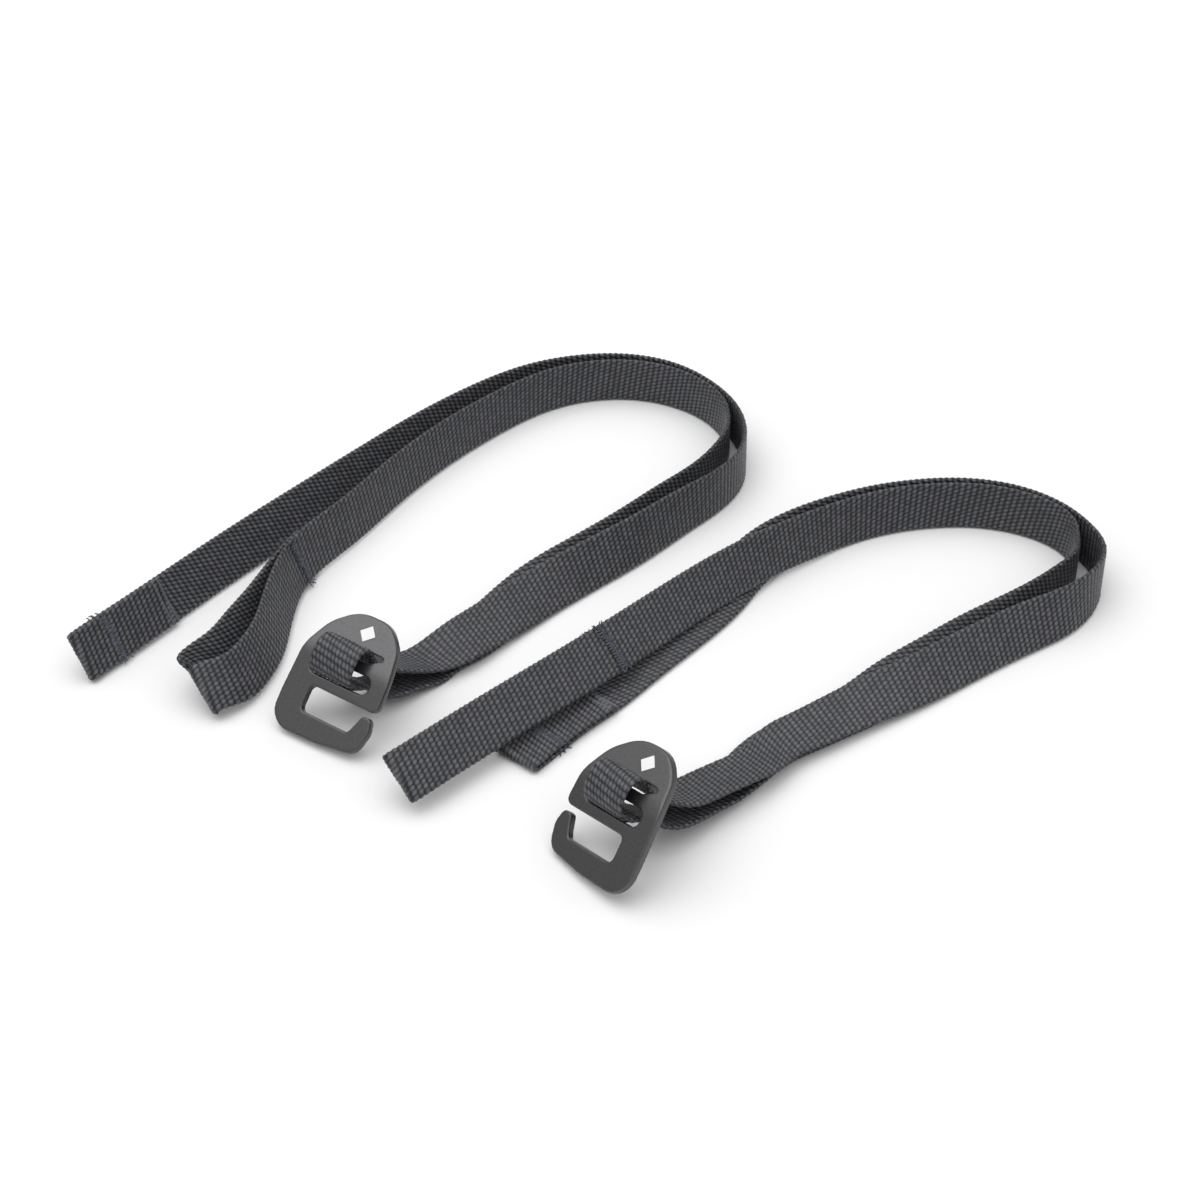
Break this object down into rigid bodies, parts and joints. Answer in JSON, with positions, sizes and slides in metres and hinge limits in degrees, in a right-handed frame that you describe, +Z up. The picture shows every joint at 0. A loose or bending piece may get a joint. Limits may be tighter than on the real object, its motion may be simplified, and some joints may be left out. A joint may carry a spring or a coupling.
{
  "type": "webbing lash strap pair",
  "caption": "Narrow woven lash straps, each doubled through a flat metal G-hook, with a sewn loop at one end and a hemmed tail at the other, lying in loose bends.",
  "frame": {"origin": "centre of the footprint of the pair, on the surface the straps lie on", "axes": "+Z up, +X along the long side of the footprint, from the hemmed tail of strap a towards the bend of strap b, +Y away from the hooks"},
  "size_m": [0.3068, 0.255, 0.0281],
  "materials": {
    "webbing": "dark charcoal woven synthetic webbing, slightly glossy yarn",
    "thread": "dense zigzag bar tack in dark thread",
    "hook_metal": "satin black coated metal plate with rounded rims",
    "badge": "plain white printed lozenge"
  },
  "bodies": {
    "strap_a": {"tail_run_a": "webbing", "tail_hem_a": "webbing", "outer_bend_a": "webbing", "top_leg_a": "webbing", "hook_wrap_a": "webbing", "under_leg_a": "webbing", "inner_bend_a": "webbing", "loop_run_a": "webbing", "loop_near_a": "webbing", "loop_far_a": "webbing", "tail_tack_a": "thread", "loop_tack_a": "thread"},
    "hook_a": {"g_hook_a": "hook_metal", "hook_badge_a": "badge"},
    "strap_b": {"tail_run_b": "webbing", "tail_hem_b": "webbing", "outer_bend_b": "webbing", "top_leg_b": "webbing", "hook_wrap_b": "webbing", "under_leg_b": "webbing", "inner_bend_b": "webbing", "loop_run_b": "webbing", "loop_near_b": "webbing", "loop_far_b": "webbing", "tail_tack_b": "thread", "loop_tack_b": "thread"},
    "hook_b": {"g_hook_b": "hook_metal", "hook_badge_b": "badge"}
  },
  "joints": [
    {"name": "hook_a_tilt", "type": "hinge", "parent": "strap_a", "child": "hook_a", "pos_m": [-0.07029, -0.04829, 0.01868], "axis": [0.8152, -0.5791, -0.006], "range_deg": [-6, 12]},
    {"name": "strap_b_lift", "type": "slide", "parent": "strap_a", "child": "strap_b", "axis": [0, 0, 1], "range_m": [0, 0.06]},
    {"name": "hook_b_tilt", "type": "hinge", "parent": "strap_b", "child": "hook_b", "pos_m": [0.00647, -0.10437, 0.01954], "axis": [0.6468, -0.7488, 0.145], "range_deg": [-6, 12]}
  ]
}
